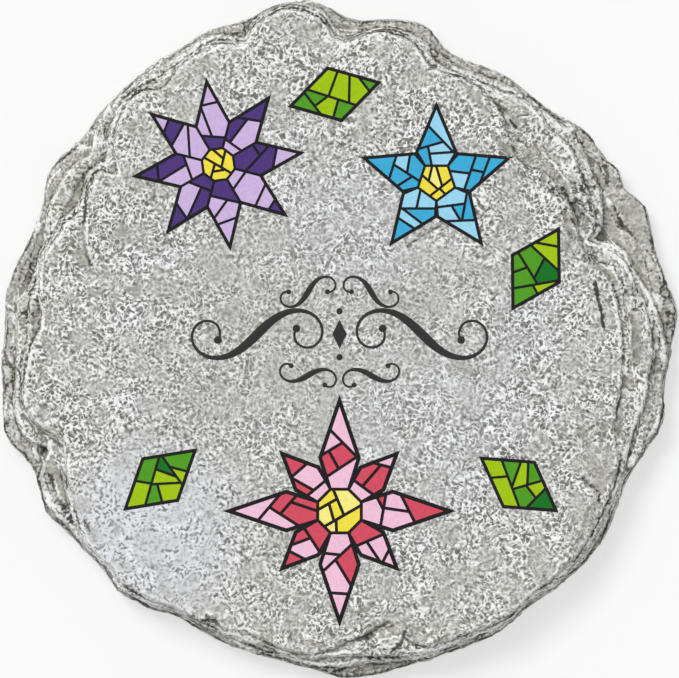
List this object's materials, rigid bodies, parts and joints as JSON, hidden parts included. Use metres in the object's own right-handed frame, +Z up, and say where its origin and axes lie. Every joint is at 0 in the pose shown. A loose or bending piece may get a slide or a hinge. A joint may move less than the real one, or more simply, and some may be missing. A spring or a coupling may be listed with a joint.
{
  "type": "mosaic garden stone",
  "caption": "Round cast garden stepping stone with a flat printed face and a rim of broken, slate-like layers.",
  "frame": {"origin": "on the underside, at the middle of the stone's width and depth", "axes": "+Z up out of the printed face, +Y towards the top of the face, +X to its right"},
  "size_m": [0.2804, 0.2803, 0.022],
  "materials": {
    "cast_stone": "rough cast cement stone, pale grey with darker grey-brown hollows"
  },
  "bodies": {
    "root": {"garden_stone": "cast_stone"}
  },
  "joints": []
}
